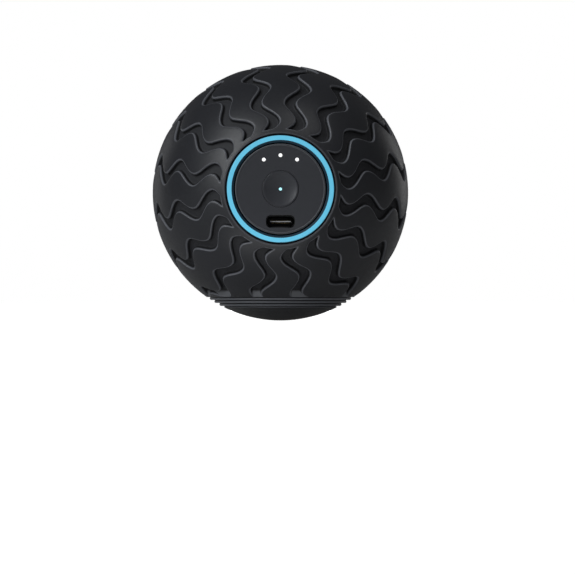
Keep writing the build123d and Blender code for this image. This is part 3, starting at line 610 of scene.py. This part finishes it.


# Masks over the groove share: a painted highlight on the groove's rounded shoulders, painted shade on its
# steep walls, and the floor's own tone.
SHOULDER_HIGHLIGHT = [(0.0, BLACK), (0.02, WHITE), (0.26, WHITE), (0.42, BLACK)]
WALL_SHADE = [(0.40, BLACK), (0.52, WHITE), (0.90, WHITE), (0.99, BLACK)]
FLOOR = [(0.6, BLACK), (0.9, WHITE)]
SLOT_MATERIALS = {
    "sleeve_silicone": silicone(
        "sleeve_silicone", (0.0140, 0.0150, 0.0186), (0.0170, 0.0180, 0.0222),
        [
            ("groove", (0.0160, 0.0168, 0.0205), FLOOR),
            # painted shade darkens the groove walls
            ("groove", (0.005, 0.0053, 0.0062), WALL_SHADE),
            # painted highlight lightens the groove shoulders
            ("groove", (0.115, 0.119, 0.134), SHOULDER_HIGHLIGHT),
            # painted highlight on the ramps where the grooves run out above the base
            ("ramp", (0.14, 0.146, 0.158), [(0.15, BLACK), (0.4, WHITE)]),
        ],
        (0.36, 0.46),
    ),
    "base_silicone": silicone(
        "base_silicone", (0.0150, 0.0160, 0.0196), (0.0180, 0.0190, 0.0232),
        # painted highlight lightens the rib crests
        [("crest", (0.150, 0.157, 0.176), [(0.3, BLACK), (0.9, WHITE)])],
        (0.34, 0.44),
    ),
    "shell_plastic": grained("shell_plastic", (0.050, 0.050, 0.055), (0.066, 0.066, 0.072), 0.48),
    "inner_plastic": brushed("inner_plastic", (0.17, 0.17, 0.18), (0.25, 0.25, 0.26), 0.5, (1, 0.2, 1), 0.0),
    # Near-black, far darker than the other black plastics: partly the housing's own black and partly painted
    # shade in the gap round the face plate.
    "housing_plastic": grained(
        "housing_plastic", (0.0012, 0.0012, 0.0015), (0.002, 0.002, 0.0025), 0.8, IOR=1.2
    ),
    "panel_plastic": plate_material(),
    "button_plastic": grained(
        "button_plastic", (0.0355, 0.0372, 0.0440), (0.0390, 0.0407, 0.0475), 0.34, 2500, 0.005 * MM
    ),
    "ring_blue": ring_material(),
    "power_light": lit_material("power_light", (0.3, 0.6, 0.65), (0.42, 0.86, 0.93), 0.9),
    "indicator_light": lit_material("indicator_light", (0.5, 0.5, 0.5), (1.0, 1.0, 1.0), 0.95),
    "led_package": grained("led_package", (0.70, 0.66, 0.42), (0.80, 0.76, 0.50), 0.3),
    # Near-black metal: the port's shell is darkened as painted shade inside the slot.
    "port_metal": grained("port_metal", (0.004, 0.004, 0.0045), (0.007, 0.007, 0.0075), 0.5, metal=1.0),
    "port_insulator": tongue_material(),
    "gold_contacts": brushed("gold_contacts", (0.82, 0.55, 0.20), (0.92, 0.66, 0.28), 0.25),
    "circuit_board": board_material(),
    "chip_black": grained("chip_black", (0.010, 0.010, 0.011), (0.018, 0.018, 0.020), 0.45),
    "connector_nylon": grained("connector_nylon", (0.66, 0.62, 0.52), (0.74, 0.70, 0.60), 0.42),
    "seal_rubber": grained("seal_rubber", (0.008, 0.008, 0.008), (0.014, 0.014, 0.014), 0.62),
    "screw_steel": brushed("screw_steel", (0.42, 0.42, 0.43), (0.58, 0.58, 0.60), 0.3),
    "motor_steel": brushed("motor_steel", (0.50, 0.51, 0.52), (0.66, 0.67, 0.68), 0.28, (0.08, 1, 1)),
    "weight_metal": grained(
        "weight_metal", (0.30, 0.29, 0.27), (0.40, 0.39, 0.36), 0.42, 700, 0.02 * MM, 1.0
    ),
    "magnet_ferrite": grained("magnet_ferrite", (0.035, 0.034, 0.035), (0.060, 0.058, 0.060), 0.55),
    "copper": banded("copper", (0.55, 0.20, 0.09), (0.86, 0.38, 0.19), 0.3, 500.0, "X", 0.05 * MM, 1.0),
    "bronze": grained("bronze", (0.36, 0.20, 0.08), (0.50, 0.29, 0.13), 0.4, 900, 0.02 * MM, 1.0),
    "battery_wrap": grained(
        "battery_wrap", (0.008, 0.070, 0.210), (0.012, 0.090, 0.260), 0.28, 300, 0.01 * MM,
        Coat_Weight=0.4,
    ),
    "pad_foam": grained("pad_foam", (0.018, 0.018, 0.019), (0.045, 0.045, 0.048), 0.85, 1800, 0.15 * MM),
    "strap_fabric": banded(
        "strap_fabric", (0.010, 0.010, 0.011), (0.035, 0.035, 0.038), 0.75, 700.0, "DIAGONAL",
        0.06 * MM,
    ),
    "wire_red": grained("wire_red", (0.42, 0.010, 0.008), (0.52, 0.016, 0.012), 0.38),
    "wire_black": grained("wire_black", (0.008, 0.008, 0.009), (0.014, 0.014, 0.015), 0.38),
}


# ---------------------------------------------------------------------- the pieces
sleeve = build_sleeve()
base = build_base()
for piece, node, slot in (
    (sleeve, "silicone_sleeve", "sleeve_silicone"), (base, "base_cap", "base_silicone"),
):
    piece.data.materials.append(SLOT_MATERIALS[slot])
    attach(piece, "ball")
    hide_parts(node)

for part in frame["record"]["subparts"]:
    skin = frame["nodes"][part["node"]].data.materials
    skin.clear()
    skin.append(SLOT_MATERIALS[part["material_slot"]])


# ---------------------------------------------------------------------- the studio
def area_light(name, place, aim, width, height, watts, colour=(1, 1, 1)):
    """A soft box: a rectangular light at a place, facing a point."""
    lamp = bpy.data.lights.new(name, "AREA")
    lamp.shape = "RECTANGLE"
    lamp.size, lamp.size_y = width, height
    lamp.energy = watts
    lamp.color = colour
    holder = bpy.data.objects.new(name, lamp)
    bpy.context.scene.collection.objects.link(holder)
    holder.visible_camera = False
    holder.location = place
    holder.rotation_euler = (Vector(aim) - Vector(place)).to_track_quat("-Z", "Y").to_euler()
    return holder


ball_centre = (0, 0, CENTRE_HEIGHT)
under_ball_front = (-0.010, -0.042, CENTRE_HEIGHT)
area_light("key_softbox", (-0.57, -0.52, 0.49), ball_centre, 0.40, 0.80, 4.5, (0.95, 0.98, 1.0))
area_light("left_panel", (-0.60, 0.80, 0.14), ball_centre, 0.25, 0.55, 0.25)
area_light("right_panel", (0.60, 0.80, 0.14), ball_centre, 0.25, 0.55, 0.45)
area_light("back_softbox", (0.0, 1.10, 0.08), ball_centre, 0.30, 0.30, 1.6)
# A small light at the floor, for the soft highlight under the panel.
area_light("table_bounce", (-0.012, -0.057, 0.002), under_ball_front, 0.060, 0.034, 0.006)
area_light("top_panel", (0.22, -0.40, 0.85), ball_centre, 0.45, 0.45, 0.8)

# The floor is white to the camera and lights the ball as a much darker floor would.
FLOOR_RADIUS = 8.0
FLOOR_SEEN = 0.97
FLOOR_GLOW = 0.06
floor_mesh = bpy.data.meshes.new("floor")
work = bmesh.new()
bmesh.ops.create_circle(work, cap_ends=True, segments=96, radius=FLOOR_RADIUS)
work.to_mesh(floor_mesh)
work.free()
floor = new_object("floor", floor_mesh)
floor_paint = grained("floor_paint", (0.45, 0.45, 0.45), (0.47, 0.47, 0.47), 0.8)
paint_nodes, paint_links = floor_paint.node_tree.nodes, floor_paint.node_tree.links
bright = paint_nodes.new("ShaderNodeEmission")
bright.inputs["Strength"].default_value = FLOOR_SEEN
seen_ray = paint_nodes.new("ShaderNodeLightPath")
bright_seen = paint_nodes.new("ShaderNodeMixShader")
together = paint_nodes.new("ShaderNodeAddShader")
faint = paint_nodes.new("ShaderNodeEmission")
faint.inputs["Strength"].default_value = FLOOR_GLOW
paint_links.new(seen_ray.outputs["Is Camera Ray"], bright_seen.inputs["Fac"])
paint_links.new(faint.outputs["Emission"], bright_seen.inputs[1])
paint_links.new(bright.outputs["Emission"], bright_seen.inputs[2])
paint_links.new(bright_seen.outputs["Shader"], together.inputs[0])
paint_links.new(paint_nodes["Principled BSDF"].outputs["BSDF"], together.inputs[1])
paint_links.new(together.outputs["Shader"], paint_nodes["Material Output"].inputs["Surface"])
floor.data.materials.append(floor_paint)

# The room is white to the camera. To the ball it is dim, and dimmest behind it.
ROOM_FRONT = 0.17
ROOM_BACK = 0.07
world = bpy.data.worlds.new("studio")
bpy.context.scene.world = world
world.use_nodes = True
world_nodes, world_links = world.node_tree.nodes, world.node_tree.links
room = world_nodes["Background"]
room.inputs["Color"].default_value = (0.95, 0.97, 1.0, 1)
direction = world_nodes.new("ShaderNodeTexCoord")
axes = world_nodes.new("ShaderNodeSeparateXYZ")
dimmer = world_nodes.new("ShaderNodeMapRange")
dimmer.inputs["From Min"].default_value = -1.0
dimmer.inputs["From Max"].default_value = 1.0
dimmer.inputs["To Min"].default_value = ROOM_FRONT
dimmer.inputs["To Max"].default_value = ROOM_BACK
world_links.new(direction.outputs["Generated"], axes.inputs["Vector"])
world_links.new(axes.outputs["Y"], dimmer.inputs["Value"])
world_links.new(dimmer.outputs["Result"], room.inputs["Strength"])
backdrop = world_nodes.new("ShaderNodeBackground")
backdrop.inputs["Color"].default_value = (1, 1, 1, 1)
backdrop.inputs["Strength"].default_value = 1.0
ray = world_nodes.new("ShaderNodeLightPath")
seen = world_nodes.new("ShaderNodeMixShader")
world_links.new(ray.outputs["Is Camera Ray"], seen.inputs["Fac"])
world_links.new(room.outputs["Background"], seen.inputs[1])
world_links.new(backdrop.outputs["Background"], seen.inputs[2])
world_links.new(seen.outputs["Shader"], world_nodes["World Output"].inputs["Surface"])

bpy.context.scene.view_settings.view_transform = "Standard"

# ---------------------------------------------------------------------- the camera
CAMERA_DISTANCE = 1.10
CAMERA_HEIGHT = 6.6 * MM
FRAME_WIDTH = 0.1914  # width of the picture at the ball's centre
FRAME_MIDDLE = (2.35 * MM, 10.98 * MM)  # the picture's middle, right of and above the origin
SENSOR = 36.0
camera_data = bpy.data.cameras.new("camera")
camera_data.sensor_width = SENSOR
camera_data.lens = SENSOR * CAMERA_DISTANCE / FRAME_WIDTH
camera_data.shift_x = FRAME_MIDDLE[0] / FRAME_WIDTH
camera_data.shift_y = (FRAME_MIDDLE[1] - CAMERA_HEIGHT) / FRAME_WIDTH
camera_data.clip_start = 0.01
camera_data.clip_end = 50
camera = bpy.data.objects.new("camera", camera_data)
bpy.context.scene.collection.objects.link(camera)
camera.location = (0, -CAMERA_DISTANCE, CAMERA_HEIGHT)
camera.rotation_euler = (math.radians(90), 0, 0)
bpy.context.scene.camera = camera
